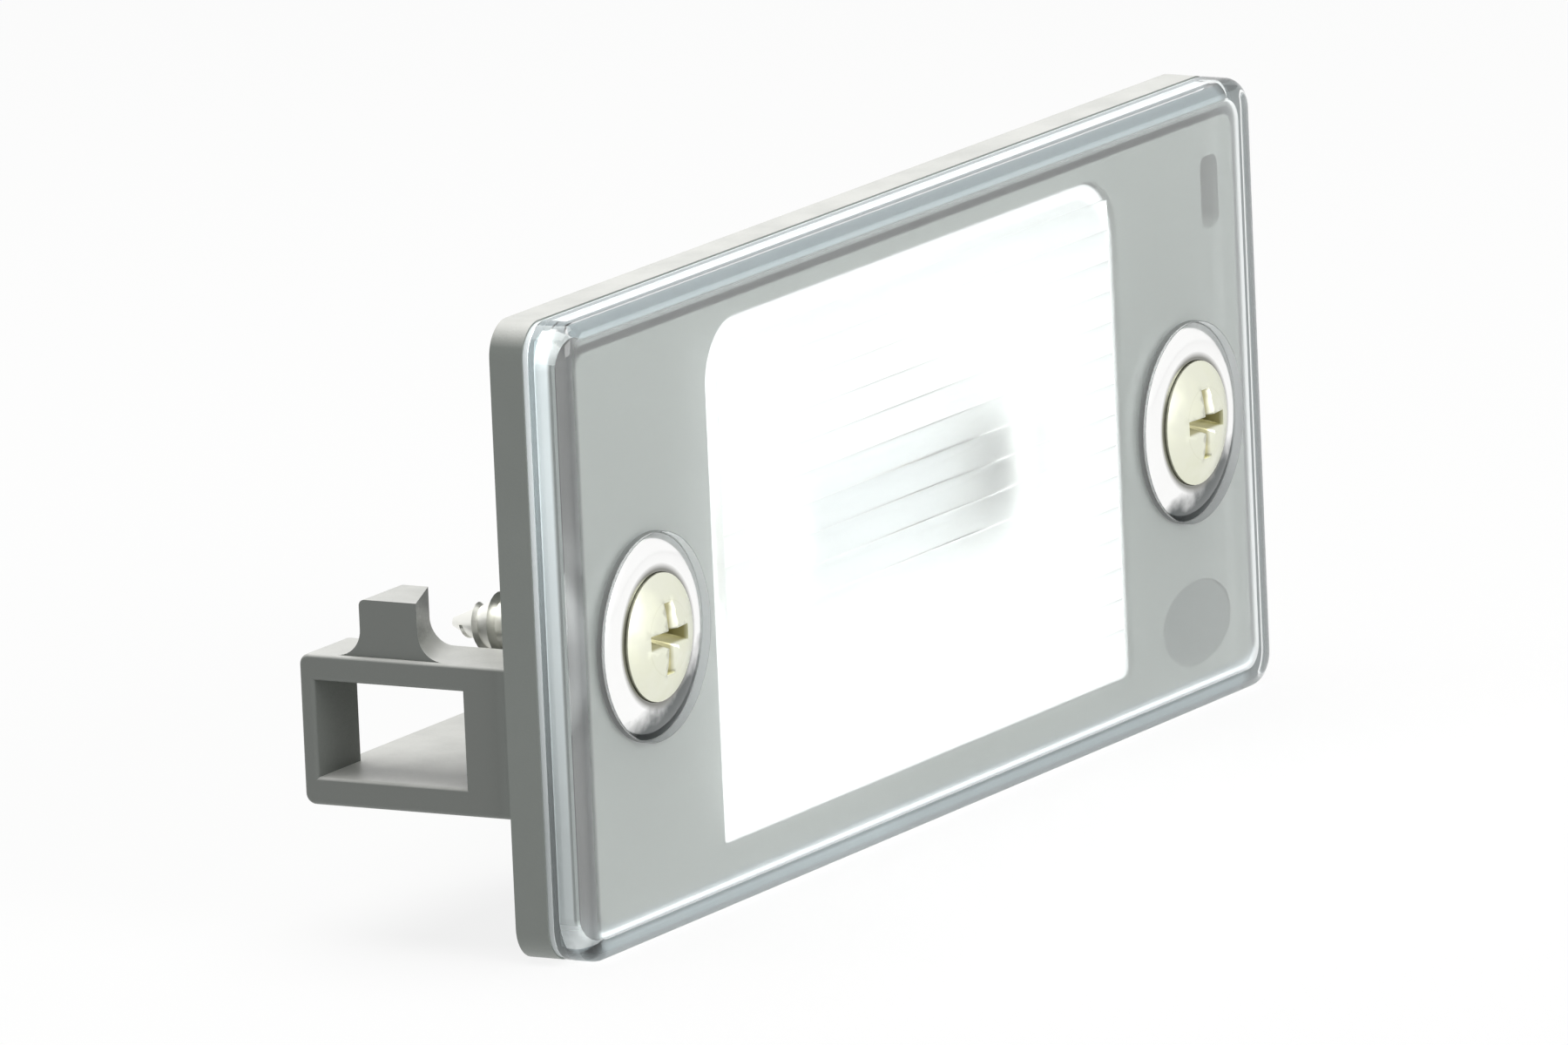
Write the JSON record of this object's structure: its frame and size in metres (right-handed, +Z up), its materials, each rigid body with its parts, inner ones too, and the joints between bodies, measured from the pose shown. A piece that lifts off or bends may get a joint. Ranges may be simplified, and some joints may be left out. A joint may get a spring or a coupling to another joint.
{
  "type": "number plate lamp",
  "caption": "Flat rectangular car lamp with a clear lens over a grey housing, a bright window, end screws in bright cup washers and a rear plug guide, which lights a number plate.",
  "frame": {"origin": "middle of the seat, the plane in which the housing's rim meets the bodywork", "axes": "+Y from the viewer into the bodywork, +X along the plate to the viewer's right, +Z up"},
  "size_m": [0.088, 0.0215, 0.04],
  "materials": {
    "clear_lens": "polished clear polycarbonate",
    "seal_rubber": "soft pale silicone",
    "grey_plastic": "grey moulded plastic with a fine grain",
    "white_plastic": "smooth white plastic",
    "tinned_strip": "tinned spring strip",
    "rivet_brass": "plain brass",
    "bulb_glass": "clear blown glass",
    "nickel_cap": "nickel-plated brass",
    "filament_wire": "drawn wire",
    "bright_nickel": "bright nickel plate",
    "yellow_zinc": "pale yellow passivated zinc"
  },
  "bodies": {
    "root": {"lens": "clear_lens", "lens_seal": "seal_rubber", "housing": "grey_plastic", "reflector": "white_plastic", "contact_left": "tinned_strip", "contact_right": "tinned_strip", "contact_rivets": "rivet_brass", "bulb_glass": "bulb_glass", "bulb_cap_left": "nickel_cap", "bulb_cap_right": "nickel_cap", "bulb_filament": "filament_wire", "bulb_leads": "filament_wire", "cup_washers": "bright_nickel", "screws": "yellow_zinc"}
  },
  "joints": []
}
